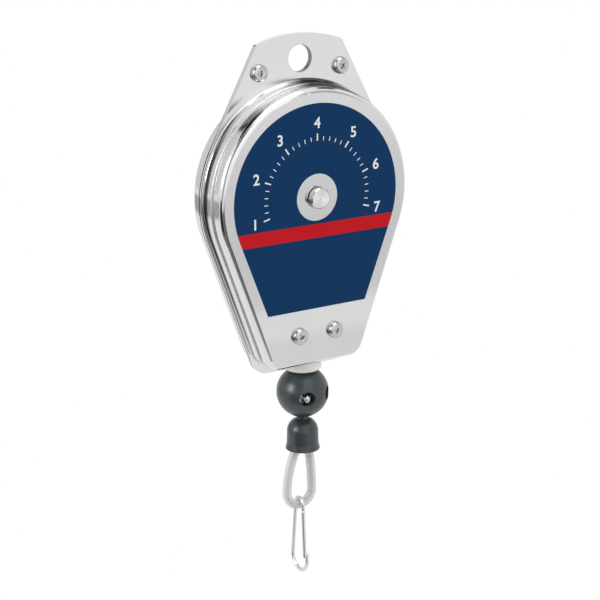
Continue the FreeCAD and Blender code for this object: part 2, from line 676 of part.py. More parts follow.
def rounded(before, corner, after, radius):
    """Start, middle and end of the arc that rounds the corner of a path."""
    arriving = (corner - before).normalize()
    leaving = (after - corner).normalize()
    turn = arriving.getAngle(leaving)
    ease = radius * math.tan(turn / 2)
    inward = (leaving - arriving).normalize()
    middle = corner + inward * (radius / math.cos(turn / 2) - radius)
    return corner - arriving * ease, middle, corner + leaving * ease


def rope_lead():
    """From the spool to the guide: half a turn, the straight lead, and the bend to upright."""
    lean = math.asin(LEAD_RADIUS / -BEND_Z)
    leave = V(LEAD_RADIUS * math.cos(lean), LEAD_LANE_Y, -LEAD_RADIUS * math.sin(lean))
    back = V(-leave.x, leave.y, -leave.z)
    over = V(LEAD_RADIUS * math.sin(lean), LEAD_LANE_Y, LEAD_RADIUS * math.cos(lean))
    free = leave - V(math.sin(lean), 0, math.cos(lean)) * LEAD_FREE
    corner = V(0, ROPE_Y, BEND_Z)
    end = V(0, ROPE_Y, RUN_TOP)
    swing = rounded(leave, free, corner, BEND_RADIUS)
    bend = rounded(free, corner, end, BEND_RADIUS)
    path = [Part.Arc(back, over, leave).toShape(), Part.makeLine(leave, swing[0]),
            Part.Arc(*swing).toShape(), Part.makeLine(swing[2], bend[0]),
            Part.Arc(*bend).toShape(), Part.makeLine(bend[2], end)]
    return tube(path, ROPE)


def rope_run():
    """The stretch between guide and ball that grows as the line is pulled."""
    return post(ROPE, BALL_TOP, RUN_TOP)


def rope_end():
    """From the top of the ball down to the ferrule."""
    return post(ROPE, FERRULE_TOP, BALL_TOP)


def rope_guide():
    """Nylon guide: a collar each side of the case wall, a funnel on top and a mouth below."""
    inside = CASE_BOTTOM + SHEET + GUIDE_FIT
    outside = CASE_BOTTOM - GUIDE_FIT
    seat = GUIDE_BOTTOM + GUIDE_SEAT
    return spun([(GUIDE_FUNNEL, GUIDE_TOP), (GUIDE_COLLAR - 0.6, GUIDE_TOP), (GUIDE_COLLAR, GUIDE_TOP - 0.6),
                 (GUIDE_COLLAR, inside), (GUIDE_NECK, inside), (GUIDE_NECK, outside),
                 (GUIDE_COLLAR, outside), (GUIDE_COLLAR, GUIDE_BOTTOM + 0.6),
                 (GUIDE_COLLAR - 0.6, GUIDE_BOTTOM), (GUIDE_MOUTH, GUIDE_BOTTOM), (GUIDE_BORE, seat),
                 (GUIDE_BORE, RUN_TOP), (GUIDE_FUNNEL - 1.2, GUIDE_TOP - 1.6)])


# ---- stop ball -------------------------------------------------------------------------------
def ball_frame(shape):
    """Turn a shape made about the rope's line, facing front, to the ball's own heading."""
    shape.rotate(V(0, ROPE_Y, 0), V(0, 0, 1), BALL_AZIMUTH)
    return shape


def turned_about(shape, side):
    """The two clamp screws go in from opposite sides."""
    return shape if side < 0 else shape.mirror(V(0, ROPE_Y, 0), V(0, 1, 0))


def clamp_bar(radius, near, far, side):
    """Round bar along the clamp direction; near and far are measured out of the parting plane."""
    return Part.makeCylinder(radius, far - near, V(side * CLAMP_OFFSET, ROPE_Y - near, BALL_Z), V(0, -1, 0))


def ball_half(front):
    """Half of the ball, parted through the rope, with two pockets for the clamp screws."""
    ball = Part.makeSphere(BALL_RADIUS, V(0, ROPE_Y, BALL_Z))
    size = BALL_RADIUS * 2
    corner = V(-BALL_RADIUS, ROPE_Y - size, BALL_Z - BALL_RADIUS) if front else \
        V(-BALL_RADIUS, ROPE_Y, BALL_Z - BALL_RADIUS)
    ball = ball.common(Part.makeBox(size, size, size, corner))
    flats = Part.makeBox(size, size, BALL_TOP - BALL_LOW, V(-BALL_RADIUS, ROPE_Y - BALL_RADIUS, BALL_LOW))
    ball = ball.common(flats).cut(post(BALL_BORE, BALL_LOW - 1, BALL_TOP + 1))
    way = 1 if front else -1
    for side in (-1, 1):
        pocket = clamp_bar(CLAMP_POCKET, CLAMP_WALL, BALL_RADIUS + 1, side)
        hole = clamp_bar(CLAMP_SHANK + CLAMP_FIT, -1, CLAMP_WALL + 1, side)
        cutter = pocket.fuse(hole)
        if way < 0:
            cutter = cutter.mirror(V(0, ROPE_Y, 0), V(0, 1, 0))
        ball = ball.cut(cutter)
    return ball_frame(ball)


def clamp_screw(side):
    """Screw with a round tip that stands in the front pocket, its head in the rear one."""
    shank = clamp_bar(CLAMP_SHANK, -CLAMP_WALL, CLAMP_TIP - CLAMP_SHANK * 0.6, side)
    tip = Part.makeSphere(CLAMP_SHANK, V(side * CLAMP_OFFSET, ROPE_Y - CLAMP_TIP + CLAMP_SHANK, BALL_Z))
    head = clamp_bar(CLAMP_HEAD, -CLAMP_WALL - CLAMP_HEAD_HIGH, -CLAMP_WALL, side)
    rim = edges_at(head, ROPE_Y + CLAMP_WALL + CLAMP_HEAD_HIGH)
    head = head.makeFillet(CLAMP_HEAD_HIGH * 0.45, rim)
    return ball_frame(turned_about(shank.fuse(tip).fuse(head).removeSplitter(), side))


def clamp_nut(side):
    far = ROPE_Y - CLAMP_WALL
    body = nut(CLAMP_NUT_FLATS, CLAMP_SHANK, -far, -far + CLAMP_NUT_HIGH, side * CLAMP_OFFSET, 0)
    body = body.mirror(V(0, 0, 0), V(0, 1, 0))
    body.translate(V(0, 0, BALL_Z))
    return ball_frame(turned_about(body, side))


# ---- cap, ferrule and loop -------------------------------------------------------------------
def rope_cap():
    """Bell-shaped rubber cap: domed shoulder, slightly flared skirt, hollow below."""
    neck_low = CAP_TOP - CAP_NECK_HIGH
    dome_low = neck_low - CAP_DOME
    bulge = V(CAP_SHOULDER * 0.76, ROPE_Y, neck_low - CAP_DOME * 0.3)
    skirt = CAP_BOTTOM + 3.0
    hole = ROPE + ROPE_FIT

    def at(r, z):
        return V(r, ROPE_Y, z)

    edges = [Part.makeLine(at(hole, CAP_TOP), at(CAP_NECK, CAP_TOP)),
             Part.makeLine(at(CAP_NECK, CAP_TOP), at(CAP_NECK, neck_low)),
             Part.Arc(at(CAP_NECK, neck_low), bulge, at(CAP_SHOULDER, dome_low)).toShape(),
             Part.makeLine(at(CAP_SHOULDER, dome_low), at(CAP_SHOULDER + 0.15, skirt)),
             Part.makeLine(at(CAP_SHOULDER + 0.15, skirt), at(CAP_RIM, CAP_BOTTOM)),
             Part.makeLine(at(CAP_RIM, CAP_BOTTOM), at(CAP_RIM - CAP_WALL, CAP_BOTTOM)),
             Part.makeLine(at(CAP_RIM - CAP_WALL, CAP_BOTTOM), at(CAP_SHOULDER - CAP_WALL, skirt)),
             Part.makeLine(at(CAP_SHOULDER - CAP_WALL, skirt), at(CAP_SHOULDER - CAP_WALL, dome_low)),
             Part.makeLine(at(CAP_SHOULDER - CAP_WALL, dome_low), at(4.4, CAP_ROOF)),
             Part.makeLine(at(4.4, CAP_ROOF), at(hole, CAP_ROOF)),
             Part.makeLine(at(hole, CAP_ROOF), at(hole, CAP_TOP))]
    return Part.Face(Part.Wire(edges)).revolve(at(0, 0), V(0, 0, 1), 360)


def ferrule():
    """Crimped sleeve that holds the rope end and both ends of the loop."""
    half = STRAND_TOP_X - FERRULE_WALL
    width = ROPE + FERRULE_WALL
    body = Part.makeBox(2 * half, 2 * width, FERRULE_LONG, V(-half, ROPE_Y - width, FERRULE_LOW))
    for side in (-1, 1):
        body = body.fuse(post(width, FERRULE_LOW, FERRULE_TOP, side * half))
    body = body.removeSplitter()
    ends = [edge for edge in body.Edges if edge.BoundBox.ZLength < 0.01]
    return body.makeFillet(0.5, ends)


def loop_side(side):
    """Three points of one long side of the loop: its top, its middle and its foot."""
    centre_z = LOOP_LOW + LOOP_RADIUS
    foot = LOOP_RADIUS + side * LOOP_LEAN
    tall = STRAND_Z - centre_z
    inset = foot - STRAND_TOP_X
    big = (inset ** 2 + tall ** 2) / (2 * inset)
    sweep = math.asin(tall / big)
    middle = V(side * (foot - big + big * math.cos(sweep / 2)), ROPE_Y,
               centre_z + big * math.sin(sweep / 2))
    return V(side * STRAND_TOP_X, ROPE_Y, STRAND_Z), middle, V(side * foot, ROPE_Y, centre_z)


def loop_path():
    """Centre line of the loop: two long arcs down from the ferrule into a round bottom."""
    top, middle, left_foot = loop_side(-1)
    left = Part.Arc(top, middle, left_foot)
    top, middle, right_foot = loop_side(1)
    right = Part.Arc(right_foot, middle, top)
    low = Part.Arc(left_foot, V(LOOP_LEAN, ROPE_Y, LOOP_LOW), right_foot)
    return [left.toShape(), low.toShape(), right.toShape()]


def loop_cable():
    """Rope inside the sleeve, with its two ends run up to the ferrule."""
    sides = loop_path()
    first, last = sides[0], sides[-1]
    enter = strand_end(first.valueAt(first.FirstParameter), first.tangentAt(first.FirstParameter))
    leave = strand_end(last.valueAt(last.LastParameter), last.tangentAt(last.LastParameter))
    return tube([Part.makeLine(enter, first.valueAt(first.FirstParameter))] + sides
                + [Part.makeLine(last.valueAt(last.LastParameter), leave)], ROPE)


def strand_end(start, slope):
    """Where a strand of this slope meets the underside of the ferrule."""
    rise = (FERRULE_LOW - ROPE * abs(slope.x) - start.z) / slope.z
    return start + slope * rise


def loop_sleeve():
    """Soft clear tube over the loop."""
    return tube(loop_path(), SLEEVE).cut(tube(loop_path(), ROPE + SLEEVE_FIT))


# ---- snap hook -------------------------------------------------------------------------------
def hook_point(front, z):
    """Point in the hook's own upright plane; front is measured toward the front of the case."""
    return V(LOOP_LEAN, ROPE_Y - front, z)


def eye_radius():
    return SLEEVE + EYE_FIT + WIRE


def gate_root():
    """Where the spring gate leaves the eye."""
    return eye_radius(), LOOP_LOW - GATE_ROOT_BELOW


def snap_hook():
    """One bent wire: tip, lower bend, back leg and the eye over the loop."""
    eye = eye_radius()
    tip_y = HOOK_BEND_Y + HOOK_BEND
    apart = LOOP_LOW - HOOK_BEND_Z
    reach = math.hypot(apart, HOOK_BEND_Y)
    tilt = math.asin((HOOK_BEND - eye) / reach) - math.atan2(HOOK_BEND_Y, apart)
    side_y, side_z = -math.cos(tilt), math.sin(tilt)
    low = hook_point(HOOK_BEND_Y + HOOK_BEND * side_y, HOOK_BEND_Z + HOOK_BEND * side_z)
    high = hook_point(eye * side_y, LOOP_LOW + eye * side_z)
    half = (math.pi - tilt) / 2
    bottom = hook_point(HOOK_BEND_Y + HOOK_BEND * math.cos(-half), HOOK_BEND_Z - HOOK_BEND * math.sin(half))
    front_y, front_z = gate_root()
    edges = [Part.makeLine(hook_point(tip_y, TIP_TOP), hook_point(tip_y, HOOK_BEND_Z)),
             Part.Arc(hook_point(tip_y, HOOK_BEND_Z), bottom, low).toShape(),
             Part.makeLine(low, high),
             Part.Arc(high, hook_point(0, LOOP_LOW + eye), hook_point(eye, LOOP_LOW)).toShape(),
             Part.makeLine(hook_point(eye, LOOP_LOW), hook_point(front_y, front_z + WIRE + GATE_TOP_GAP))]
    body = tube(edges, WIRE)
    return body.fuse(Part.makeSphere(WIRE, hook_point(tip_y, TIP_TOP))).removeSplitter()


def snap_gate():
    """Springy second leg of the wire, closing on the inside of the tip."""
    root_y, root_z = gate_root()
    closed_y = HOOK_BEND_Y + HOOK_BEND - 2 * WIRE - GATE_SEAT
    drop = root_z - GATE_END
    root = hook_point(root_y, root_z)
    end = hook_point(closed_y, GATE_END)
    along = (end - root).normalize()
    leg = Part.makeCylinder(WIRE, drop, root, along)
    ball_top = Part.makeSphere(WIRE, root)
    return leg.fuse(ball_top).removeSplitter()


# ---- build -----------------------------------------------------------------------------------
os.makedirs("parts", exist_ok=True)
both = (-1, 1)

save("front_shell", front_shell())
save("rear_shell", rear_shell())
save("face_label", face_label())
save("top_screws", *[top_screw(side) for side in both])
save("top_nuts", *[top_nut(side) for side in both])
save("lower_screws", *[lower_screw(side) for side in both])
save("lower_nuts", *[lower_nut(side) for side in both])
save("lower_spacers", *[spacer(side) for side in both])

save("shaft", shaft())
save("front_boss", boss(SHEET, FRONT_BOSS_BACK))
save("rear_boss", boss(REAR_BOSS_FRONT, REAR_INNER))
save("spool_washers", *[washer(start) for start in washer_places()])
save("shaft_clips", *[shaft_clip(start) for start in clip_places()])
save("spring_arbor", spring_arbor())

save("spool_drum", spool_drum())
save("spool_cover", spool_cover())
save("cover_screws", *[cover_screw(place) for place in cover_screw_places()])
save("mainspring", mainspring())
save("rope_wound", stored_rope())
save("rope_anchor", rope_anchor())

save("ratchet_wheel", ratchet_wheel())
save("pawl", pawl())
save("pawl_pin", pawl_pin())
save("pawl_spring", pawl_spring())

save("rope_guide", rope_guide())
save("rope_lead", rope_lead())
save("rope_run", rope_run())
save("rope_end", rope_end())

save("ball_half_front", ball_half(True))
save("ball_half_rear", ball_half(False))
save("clamp_screws", *[clamp_screw(side) for side in both])
save("clamp_nuts", *[clamp_nut(side) for side in both])

save("rope_cap", rope_cap())
save("ferrule", ferrule())
save("loop_cable", loop_cable())
save("loop_sleeve", loop_sleeve())

save("snap_hook", snap_hook())
save("snap_gate", snap_gate())
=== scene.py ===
"""Hanging spring tool balancer: a plated steel case, a stop ball, a rope loop and a wire hook.

Lengths are in metres. The face of the case looks along -Y, and the rope hangs down along -Z.
"""
import math

import bmesh
import bpy
from mathutils import Matrix, Vector


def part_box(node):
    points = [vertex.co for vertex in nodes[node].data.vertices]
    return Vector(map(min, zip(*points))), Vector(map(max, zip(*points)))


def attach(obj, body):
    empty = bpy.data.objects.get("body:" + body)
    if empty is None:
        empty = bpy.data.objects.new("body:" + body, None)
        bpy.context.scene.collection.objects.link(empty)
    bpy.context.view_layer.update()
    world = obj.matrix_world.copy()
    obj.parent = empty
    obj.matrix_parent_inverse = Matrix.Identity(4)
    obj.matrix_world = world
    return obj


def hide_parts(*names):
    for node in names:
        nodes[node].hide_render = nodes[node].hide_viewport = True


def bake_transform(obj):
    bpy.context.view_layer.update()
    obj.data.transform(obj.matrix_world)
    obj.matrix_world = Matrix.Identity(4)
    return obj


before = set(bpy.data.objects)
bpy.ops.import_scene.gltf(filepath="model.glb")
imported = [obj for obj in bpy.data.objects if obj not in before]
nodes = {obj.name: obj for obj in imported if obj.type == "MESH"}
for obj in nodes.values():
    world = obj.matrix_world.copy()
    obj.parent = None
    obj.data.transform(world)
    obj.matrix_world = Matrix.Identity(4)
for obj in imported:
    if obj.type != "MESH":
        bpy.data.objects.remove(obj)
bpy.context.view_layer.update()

# ---- camera and light ------------------------------------------------------------------------------
# The balancer hangs in a plain white studio, seen from its front left and a little from above.
# The floor lies far enough below for the rope to be pulled right out.
lens_view = bpy.data.cameras.new("view")
lens_view.lens = 97.875
lens_view.clip_start = 0.01
camera = bpy.data.objects.new("view", lens_view)
bpy.context.scene.collection.objects.link(camera)
across = Vector((0.84776, -0.53037, -0.00318))
upward = Vector((0.15724, 0.24560, 0.95653))
toward = across.cross(upward)
facing = Matrix((across, upward, toward)).transposed()
camera_stand = Vector((-0.40270, -0.64602, 0.11386))
camera.matrix_world = Matrix.Translation(camera_stand) @ facing.to_4x4()
bpy.context.scene.camera = camera
bpy.context.scene.view_settings.view_transform = "Standard"


class Signal:
    """A socket that a node gives out; arithmetic on it adds the Math nodes."""

    def __init__(self, wiring, socket):
        self.wiring = wiring
        self.socket = socket

    def maths(self, how, *values):
        return self.wiring.node("ShaderNodeMath", {"operation": how}, dict(enumerate(values)))

    def __add__(self, other):
        return self.maths("ADD", self, other)

    def __radd__(self, other):
        return self.maths("ADD", other, self)

    def __sub__(self, other):
        return self.maths("SUBTRACT", self, other)

    def __rsub__(self, other):
        return self.maths("SUBTRACT", other, self)

    def __mul__(self, other):
        return self.maths("MULTIPLY", self, other)

    def __rmul__(self, other):
        return self.maths("MULTIPLY", other, self)

    def __gt__(self, other):
        return self.maths("GREATER_THAN", self, other)

    def __lt__(self, other):
        return self.maths("LESS_THAN", self, other)

    def __abs__(self):
        return self.maths("ABSOLUTE", self)

    def sine(self):
        return self.maths("SINE", self)

    def root(self):
        return self.maths("SQRT", self)

    def at_least(self, other):
        return self.maths("MAXIMUM", self, other)

    def turn_over(self, other):
        """The angle, in radians, whose tangent is this over the other."""
        return self.maths("ARCTAN2", self, other)

    def within(self, low, high):
        """1 between the two values, 0 outside."""
        return (self > low) * (self < high)


class Wiring:
    """The nodes of one finish, or of the air in the studio."""

    def __init__(self, tree):
        self.tree = tree

    def node(self, kind, settings, sockets, output=0):
        """Adds any node: its settings first, then the values or links of its sockets."""
        made = self.tree.nodes.new(kind)
        for key, value in settings.items():
            if key == "stops":
                ramp = made.color_ramp.elements  # a new ramp has two stops already
                for place, colour in value[2:]:
                    ramp.new(place)
                for element, (place, colour) in zip(ramp, value):
                    element.position = place
                    element.color = colour
            else:
                setattr(made, key, value)
        for key, value in sockets.items():
            self.feed(made.inputs[key], value)
        return Signal(self, made.outputs[output])

    def outputs(self, kind, sockets, *names):
        """Adds a node that gives out several signals."""
        made = self.node(kind, {}, sockets).socket.node
        return [Signal(self, made.outputs[name]) for name in names]

    def feed(self, socket, value):
        if isinstance(value, Signal):
            self.tree.links.new(value.socket, socket)
        else:
            socket.default_value = value

    def white_to_lens(self, shadowed, white):
        """Gives plain white to the lens, metal and glass, and the shadowed surface to all else."""
        seen, mirrored, through_glass = self.outputs("ShaderNodeLightPath", {}, "Is Camera Ray",
                                                     "Is Glossy Ray", "Is Transmission Ray")
        clear = seen.at_least(mirrored).at_least(through_glass)
        return self.node("ShaderNodeMixShader", {}, {0: clear, 1: shadowed, 2: white})


class Finish(Wiring):
    """A material built up round one Principled surface; fixed is what is the same all over it."""

    def __init__(self, name, **fixed):
        self.material = bpy.data.materials.new(name)
        self.material.use_nodes = True
        super().__init__(self.material.node_tree)
        self.surface = self.tree.nodes["Principled BSDF"]
        for socket, value in fixed.items():
            self.surface.inputs[socket.replace("_", " ")].default_value = value

    def place(self):
        """Where a point lies on the object, in metres."""
        return self.node("ShaderNodeTexCoord", {}, {}, "Object")

    def axes(self, place):
        return self.outputs("ShaderNodeSeparateXYZ", {0: place}, "X", "Y", "Z")

    def stretched(self, place, scale):
        return self.node("ShaderNodeMapping", {}, {"Vector": place, "Scale": scale})

    def noise(self, place, scale, detail=3.0):
        return self.node("ShaderNodeTexNoise", {},
                         {"Vector": place, "Scale": scale, "Detail": detail, "Roughness": 0.55})

    def fade(self, value, start, full, how="LINEAR"):
        """Rises from 0 where the value is start to 1 where it is full."""
        return self.node("ShaderNodeMapRange", {"interpolation_type": how},
                         {"Value": value, "From Min": start, "From Max": full})

    def mix(self, amount, first, second):
        """Mixes two colours, each a signal or its red, green and blue.

        A Mix node has sockets 6 and 7 and output 2 for colours.
        """
        first, second = [colour if isinstance(colour, Signal) else (*colour, 1.0)
                         for colour in (first, second)]
        return self.node("ShaderNodeMix", {"data_type": "RGBA"}, {0: amount, 6: first, 7: second}, 2)

    def bump(self, height, depth, strength=1.0):
        normal = self.node("ShaderNodeBump", {},
                           {"Height": height, "Distance": depth, "Strength": strength})
        self.feed(self.surface.inputs["Normal"], normal)

    def colour(self, value):
        self.feed(self.surface.inputs["Base Color"], value)

    def roughness(self, value):
        self.feed(self.surface.inputs["Roughness"], value)

    def mottle(self, scale, dark, light, smoothest, spread, detail=3.0):
        """Clouds the colour between dark and light, and the roughness with it."""
        cloud = self.noise(self.place(), scale, detail)
        self.colour(self.mix(cloud, dark, light))
        self.roughness(smoothest + cloud * spread)
        return cloud

    def wear(self, *pieces):
        """Puts this finish on the pieces."""
        for piece in pieces:
            piece.data.materials.clear()
            piece.data.materials.append(self.material)


def added(primitive, **settings):
    """Adds a primitive with nothing else selected."""
    bpy.ops.object.select_all(action="DESELECT")
    primitive(**settings)
    return bpy.context.object


world = bpy.data.worlds.new("studio")
bpy.context.scene.world = world
world.use_nodes = True
air = Wiring(world.node_tree)
room_white = (1.0, 1.0, 1.0, 1.0)
dimmed = air.tree.nodes["Background"]
dimmed.inputs["Color"].default_value = room_white
dimmed.inputs["Strength"].default_value = 0.55
bright = air.node("ShaderNodeBackground", {}, {"Color": room_white, "Strength": 1.0})
air.feed(air.tree.nodes["World Output"].inputs["Surface"],
         air.white_to_lens(Signal(air, dimmed.outputs[0]), bright))

floor_wide = 14.0
floor_z = -1.16
floor = added(bpy.ops.mesh.primitive_plane_add, size=floor_wide, location=(0, 0, floor_z))
floor.name = "floor"
pale = Finish("floor_pale", Base_Color=(0.86, 0.86, 0.86, 1.0), Roughness=0.9)
glow = pale.node("ShaderNodeEmission", {}, {"Strength": 1.0})
pale.feed(pale.tree.nodes["Material Output"].inputs["Surface"],
          pale.white_to_lens(Signal(pale, pale.surface.outputs[0]), glow))
pale.wear(floor)


def softbox(name, place, size, power):
    """A large soft lamp that faces the balancer's middle."""
    lamp = bpy.data.lights.new(name, "AREA")
    lamp.size = size
    lamp.energy = power
    holder = bpy.data.objects.new(name, lamp)
    bpy.context.scene.collection.objects.link(holder)
    holder.location = place
    balancer_middle = Vector((0, 0, -0.10))
    aim = balancer_middle - Vector(place)
    holder.rotation_euler = aim.to_track_quat("-Z", "Y").to_euler()
    return holder


def flag(name, side, rise, distance, wide, high, grey):
    """A card or cloth on a stand, seen only in polished metal, that gives its edges their lines.

    It stands side degrees round from the front towards the right, and rise degrees up. Its grey is
    0 for black and 1 for the white of the room, and a lit card has more.
    """
    side = math.radians(side)
    rise = math.radians(rise)
    towards = Vector((math.sin(side) * math.cos(rise), -math.cos(side) * math.cos(rise), math.sin(rise)))
    case_middle = Vector((0, 0, -0.08))
    cloth = added(bpy.ops.mesh.primitive_plane_add, size=1.0, location=case_middle + towards * distance,
                  rotation=(math.pi / 2 - rise, 0, side))
    cloth.scale = (wide, high, 1.0)
    cloth.name = name
    cloth.visible_camera = False
    cloth.visible_diffuse = False
    cloth.visible_shadow = False
    cloth.visible_transmission = False
    plain = Finish(name + "_cloth", Base_Color=(0, 0, 0, 1.0), Roughness=1.0, Specular_IOR_Level=0.0,
                   Emission_Color=(grey, grey, grey, 1.0), Emission_Strength=1.0)
    plain.wear(cloth)


# One bright card in front of the face, and grey and black cloths for the edges and walls.
flag("card_front", side=-3, rise=30, distance=1.15, wide=1.08, high=1.75, grey=1.40)
flag("flag_plate", side=37, rise=19, distance=1.00, wide=0.38, high=0.44, grey=0.55)
flag("flag_low", side=-66, rise=-17, distance=0.85, wide=0.52, high=0.38, grey=0.03)
flag("flag_floor", side=-48, rise=-28, distance=0.95, wide=1.70, high=0.50, grey=0.18)
flag("flag_upper", side=-47, rise=40, distance=1.00, wide=0.45, high=0.42, grey=0.22)
flag("flag_middle", side=-50, rise=12, distance=1.00, wide=0.36, high=0.62, grey=0.45)
flag("flag_over", side=-112, rise=57, distance=1.20, wide=1.20, high=0.52, grey=0.06)
flag("flag_corner", side=-173, rise=36, distance=1.20, wide=0.40, high=0.42, grey=0.03)
flag("flag_wall", side=-155, rise=15, distance=1.40, wide=1.02, high=1.02, grey=0.78)
flag("flag_behind", side=90, rise=52, distance=1.20, wide=0.72, high=0.26, grey=0.12)
flag("flag_right", side=119, rise=36, distance=1.20, wide=0.50, high=0.58, grey=0.08)
flag("flag_edge", side=131, rise=10, distance=1.20, wide=0.26, high=0.55, grey=0.15)
flag("flag_side", side=-130, rise=-14, distance=1.30, wide=1.35, high=0.24, grey=0.45)

softbox("softbox_left", place=(-1.35, 0.0, 0.35), size=0.55, power=9.0)
softbox("softbox_top", place=(0.1, -0.5, 1.5), size=0.9, power=12.0)
right_lamp = softbox("softbox_right", place=(1.3, -0.9, 0.3), size=0.7, power=7.0)
right_lamp.visible_glossy = False  # the ball shines with one highlight, from the left

# ---- case ------------------------------------------------------------------------------------------
# Two drawn steel shells, bright zinc plated, with the pull marks of the drawing tool down their walls.
# The plating mirrors the room. Painted shade darkens the seam between the flanges and the fold beside
# them down each side, painted dark reflections darken the fold over the crown and the wall behind the
# rolled edge, and a painted reflection greys the flat face in bands by height. It is grey where the
# hanging hole was sheared, and rubbed along the step.
hub_z = (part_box("shaft")[0].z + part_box("shaft")[1].z) / 2
flange_root_y = -0.0037
seam_half_wide = 0.0004
seam_top_z = -0.012
top_fold_y = (-0.0145, -0.00145)
top_fold_foot_z = -0.030
step_y = -0.0089
step_half_wide = 0.0007
roll_y = -0.0152
face_y = -0.0162
round_wall_inner = 0.0508
round_wall_outer = 0.0542
sheared_radius = 0.0066
zinc_dark = (0.67, 0.67, 0.68)
zinc_light = (0.75, 0.75, 0.755)
# the zinc as grey as the painted reflection makes it on the face
reflected_zinc_grey = (0.52, 0.52, 0.53)
steel_sheared = (0.26, 0.26, 0.265)
# the colour of the painted shade and painted dark reflections in the case's creases
painted_shade_dark = (0.012, 0.012, 0.014)
pull_grain = (900.0, 60.0, 900.0)

plated = Finish("plated_steel", Metallic=1.0)
spot = plated.place()
x, y, z = plated.axes(spot)
cloud = plated.noise(spot, scale=38.0)
pull_marks = plated.noise(plated.stretched(spot, pull_grain), scale=1.0, detail=2.0)
above_hub = z - hub_z
square_from_hub = x * x + above_hub * above_hub
on_round_wall = square_from_hub.within(round_wall_inner ** 2, round_wall_outer ** 2)

# painted shade in the seam between the two flanges and in the fold at their root, down both sides
down_side = plated.fade(z, start=-0.018, full=-0.040)
seam_shade = (abs(y) < seam_half_wide) * (z < seam_top_z) * down_side
above_foot = plated.fade(z, start=-0.150, full=-0.085)
near_root = plated.fade(abs(y - flange_root_y), start=0.0026, full=0.0008, how="SMOOTHSTEP")
side_fold_shade = down_side * above_foot * near_root

# painted dark reflection in the fold over the crown
past_left = plated.fade(x, start=-0.007, full=0.001)
past_right = plated.fade(x, start=0.030, full=0.018)
top_fold = past_left * past_right * (z > top_fold_foot_z) * y.within(*top_fold_y) * on_round_wall

# painted dark reflection on the wall behind the rolled edge, on the left shoulder only, by the angle from
# the crown
round_case = x.turn_over(above_hub)
past_shoulder = plated.fade(round_case, start=-0.86, full=-0.76, how="SMOOTHSTEP")
before_crown = plated.fade(round_case, start=-0.44, full=-0.68, how="SMOOTHSTEP")
front_half = plated.fade(y, start=-0.0088, full=-0.0104, how="SMOOTHSTEP")
shoulder_dark_reflection = past_shoulder * before_crown * front_half * (y > roll_y) * on_round_wall
# the painted shade and painted dark reflections of the case, all together
painted_shade_and_reflection = top_fold * 0.85 + side_fold_shade * 0.95 + seam_shade + shoulder_dark_reflection * 0.8

# painted reflection: how grey the flat face is made, by height above the foot
reflection_grey_by_height = ((0.02, 0.45), (0.10, 0.49), (0.14, 0.11), (0.20, 0.15), (0.24, 0.70), (0.35, 0.85),
                    (0.45, 0.85), (0.55, 0.70), (0.65, 0.58), (0.75, 0.34), (0.85, 0.19), (0.95, 0.11))
stops = [(height, (grey, grey, grey, 1.0)) for height, grey in reflection_grey_by_height]
from_foot = plated.fade(z, start=-0.150, full=0.010)
face_reflection_grey = plated.node("ShaderNodeValToRGB", {"stops": stops}, {"Fac": from_foot}) * (y < face_y)
sheared = x * x + z * z < sheared_radius ** 2
step_rubbed = abs(y - step_y) < step_half_wide

zinc = plated.mix(face_reflection_grey, plated.mix(cloud, zinc_dark, zinc_light), reflected_zinc_grey)
plated.colour(plated.mix(painted_shade_and_reflection, plated.mix(sheared, zinc, steel_sheared), painted_shade_dark))
plated.roughness(0.07 + cloud * 0.06 + pull_marks * 0.05 + sheared * 0.3 + step_rubbed * 0.22)
plated.bump(pull_marks * 0.4 + cloud, depth=0.00002, strength=0.5)
plated.wear(nodes["front_shell"], nodes["rear_shell"])

# ---- label -----------------------------------------------------------------------------------------
# A printed plastic sticker on the flat face, dark blue with one red band across it, and plain
# figures round the hub.
hub = Vector((0.0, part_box("face_label")[0].y, hub_z))
band_top = hub.z - 0.0128
band_high = 0.0068
blue_dark = (0.0048, 0.036, 0.112)
blue_light = (0.0066, 0.042, 0.126)
band_red = (0.56, 0.0120, 0.018)
sticker = Finish("label", Specular_IOR_Level=0.05)
spot = sticker.place()
x, y, z = sticker.axes(spot)
grain = sticker.noise(spot, scale=2400.0, detail=2.0)
ink = sticker.mix(grain, blue_dark, blue_light)
band = z.within(band_top - band_high, band_top)
sticker.colour(sticker.mix(band, ink, band_red))
sticker.roughness(0.30 + grain * 0.10)
sticker.bump(grain, depth=0.00001, strength=0.4)
sticker.wear(nodes["face_label"])

# ---- dial print ------------------------------------------------------------------------------------
# White ink screened on the sticker: a plain arc of ticks round the upper half of the hub, with a
# long tick and a figure at every fifth. The ink is a film 0.03 mm thick.
ink_thick = 0.00003
tick_count = 31
figure_every = 5
tick_foot = 0.0270
first_tick_degrees = 195.0
tick_step_degrees = 7.0
figure_middle = tick_foot + 0.0082
figure_high = 0.0072
figure_swell = 0.00012
white_ink = Finish("white_ink", Specular_IOR_Level=0.2)
white_ink.mottle(scale=3000.0, dark=(0.80, 0.82, 0.84), light=(0.88, 0.89, 0.90), smoothest=0.34,
                 spread=0.12, detail=2.0)


def solo(piece):
    """Leaves one piece selected and active."""
    bpy.ops.object.select_all(action="DESELECT")
    piece.select_set(True)
    bpy.context.view_layer.objects.active = piece
    return piece


def seated(piece):
    """Puts the piece's place, turn and scale into its mesh."""
    solo(piece)
    bpy.ops.object.transform_apply(location=True, rotation=True, scale=True)
    return piece


def copied(piece):
    """A copy with its own mesh."""
    twin = piece.copy()
    twin.data = piece.data.copy()
    bpy.context.scene.collection.objects.link(twin)
    return twin


def joined(name, *parts):
    """Makes one mesh of several."""
    solo(parts[0])
    for part in parts:
        part.select_set(True)
    bpy.ops.object.join()
    piece = bpy.context.object
    piece.name = name
    piece.data.name = name
    return piece


def tick_mark(reach, wide):
    """One tick, pointing along +X from a hub at the origin."""
    tick = added(bpy.ops.mesh.primitive_cube_add, size=1.0, location=(tick_foot + reach / 2, 0, 0))
    tick.scale = (reach, ink_thick, wide)
    return seated(tick)


